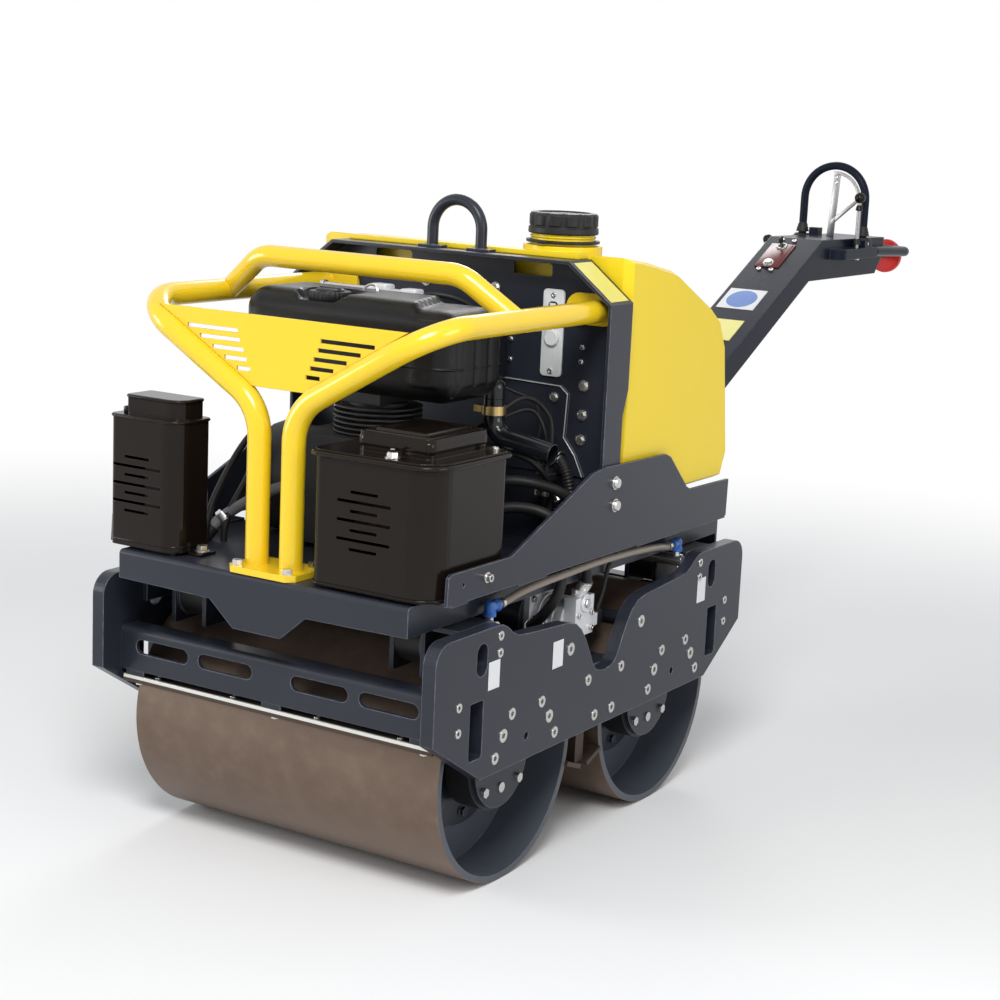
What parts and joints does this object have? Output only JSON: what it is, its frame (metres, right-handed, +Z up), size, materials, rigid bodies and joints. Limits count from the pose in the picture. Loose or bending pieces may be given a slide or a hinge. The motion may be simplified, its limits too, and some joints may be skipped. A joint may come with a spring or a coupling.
{
  "type": "walk behind vibratory roller",
  "caption": "Walk-behind vibratory roller with twin steel drums, slotted side plates, tube guard, water tank, boxed engine guards and a folding tiller with hoop lever.",
  "frame": {"origin": "on the ground, midway between the two drum axes, on the machine's centre plane", "axes": "+X to the side with the silver exciter motor, which the picture shows; -Y towards the front drum and the tube guard; +Y towards the tiller; +Z up"},
  "size_m": [0.7294, 2.6631, 1.2011],
  "materials": {
    "dark_paint": "semi-gloss dark blue-grey paint",
    "yellow_paint": "glossy yellow paint",
    "yellow_plastic": "glossy moulded plastic",
    "black_plastic": "glossy black plastic",
    "matte_black": "matt black plastic",
    "bare_steel": "bare steel with a brown rust bloom",
    "zinc": "zinc-plated steel",
    "machined_steel": "machined steel",
    "silver": "silver paint on cast metal",
    "cast_iron": "dark cast metal",
    "rubber": "black rubber",
    "hose_rubber": "black hydraulic hose",
    "clear_hose": "translucent brownish hose",
    "red_plastic": "glossy red plastic",
    "white_plastic": "white plastic",
    "blue_plastic": "blue fitting plastic",
    "brass": "yellow passivated steel",
    "rusty_steel": "heat-browned steel"
  },
  "bodies": {
    "chassis": {"side_plate_right": "dark_paint", "side_plate_left": "dark_paint", "front_beam": "dark_paint", "rear_beam": "dark_paint", "centre_crossmember": "dark_paint", "outer_scrapers": "bare_steel", "inner_scrapers": "bare_steel", "lower_frame_bolts": "zinc", "axle_carriers": "dark_paint", "bearing_housings": "cast_iron", "travel_motors": "cast_iron", "bearings": "machined_steel", "exciter_housing": "dark_paint", "exciter_motor": "silver", "buffer_brackets": "dark_paint", "rubber_buffers": "rubber", "sprinkler_bars": "zinc", "deck_frame": "dark_paint", "side_skirts": "dark_paint", "frame_bolts": "zinc", "guard_frame": "yellow_paint", "guard_infill": "yellow_paint", "support_frame": "dark_paint", "level_gauge": "white_plastic", "lifting_eye": "dark_paint", "water_tank": "yellow_plastic", "engine_block": "cast_iron", "engine_cowl": "matte_black", "fuel_tank": "black_plastic", "air_filter": "black_plastic", "muffler": "rusty_steel", "right_guard": "black_plastic", "right_guard_lid": "black_plastic", "left_guard": "black_plastic", "battery": "matte_black", "breather_pipe": "black_plastic", "hose_clamp": "brass", "hydraulic_pump": "cast_iron", "hydraulic_hoses": "hose_rubber", "water_hoses": "clear_hose", "water_elbows": "blue_plastic", "tiller_bracket": "dark_paint", "tiller_pin": "zinc"},
    "front_roll": {"front_drum": "bare_steel", "front_drum_hubs": "bare_steel"},
    "rear_roll": {"rear_drum": "bare_steel", "rear_drum_hubs": "bare_steel"},
    "exciter": {"exciter_shaft": "machined_steel"},
    "engine_crank": {"crankshaft": "machined_steel"},
    "fuel_filler": {"fuel_cap": "matte_black"},
    "water_filler": {"water_cap": "matte_black"},
    "tiller": {"tiller_arm": "dark_paint", "handle_bar": "dark_paint", "control_panel": "red_plastic"},
    "hoop": {"travel_hoop": "dark_paint"},
    "stop": {"stop_pad": "red_plastic"},
    "vibration": {"vibration_lever": "zinc"},
    "throttle": {"throttle_lever": "zinc"},
    "key": {"key_switch": "zinc"},
    "button": {"start_button": "zinc"}
  },
  "joints": [
    {"name": "front_drum_roll", "type": "hinge", "parent": "chassis", "child": "front_roll", "pos_m": [0, -0.264, 0.21], "axis": [1, 0, 0], "continuous": true},
    {"name": "rear_drum_roll", "type": "hinge", "parent": "chassis", "child": "rear_roll", "pos_m": [0, 0.264, 0.21], "axis": [1, 0, 0], "continuous": true},
    {"name": "exciter_spin", "type": "hinge", "parent": "chassis", "child": "exciter", "pos_m": [0, 0, 0.4], "axis": [1, 0, 0], "continuous": true},
    {"name": "engine_spin", "type": "hinge", "parent": "chassis", "child": "engine_crank", "pos_m": [0, -0.218, 0.63], "axis": [1, 0, 0], "continuous": true},
    {"name": "fuel_cap_turn", "type": "hinge", "parent": "chassis", "child": "fuel_filler", "pos_m": [-0.062, -0.285, 0.966], "axis": [0, 0, 1], "range_deg": [0, 90]},
    {"name": "water_cap_turn", "type": "hinge", "parent": "chassis", "child": "water_filler", "pos_m": [0.171, 0.1, 1.085], "axis": [0, 0, 1], "range_deg": [0, 360]},
    {"name": "tiller_fold", "type": "hinge", "parent": "chassis", "child": "tiller", "pos_m": [0, 0.59, 0.509], "axis": [1, 0, 0], "range_deg": [-12, 55]},
    {"name": "travel_hoop_tilt", "type": "hinge", "parent": "tiller", "child": "hoop", "pos_m": [0, 1.73008, 1.00303], "axis": [1, 0, 0], "range_deg": [-10, 10], "stiffness_Nm_per_rad": 30},
    {"name": "stop_pad_push", "type": "slide", "parent": "tiller", "child": "stop", "axis": [0, -1, 0], "range_m": [0, 0.012], "stiffness_N_per_m": 1500},
    {"name": "vibration_lever_tilt", "type": "hinge", "parent": "tiller", "child": "vibration", "pos_m": [0.086, 1.68508, 0.97203], "axis": [1, 0, 0], "range_deg": [0, 25]},
    {"name": "throttle_lever_tilt", "type": "hinge", "parent": "tiller", "child": "throttle", "pos_m": [-0.087, 1.50108, 0.97503], "axis": [1, 0, 0], "range_deg": [0, 50]},
    {"name": "key_turn", "type": "hinge", "parent": "tiller", "child": "key", "pos_m": [-0.017, 1.47061, 0.99418], "axis": [0, -0.4571, 0.8894], "range_deg": [0, 90]},
    {"name": "start_button_push", "type": "slide", "parent": "tiller", "child": "button", "axis": [0, 0.4571, -0.8894], "range_m": [0, 0.004], "stiffness_N_per_m": 800}
  ],
  "couplings": [
    {"joint": "rear_drum_roll", "follows": "front_drum_roll", "ratio": 1}
  ]
}
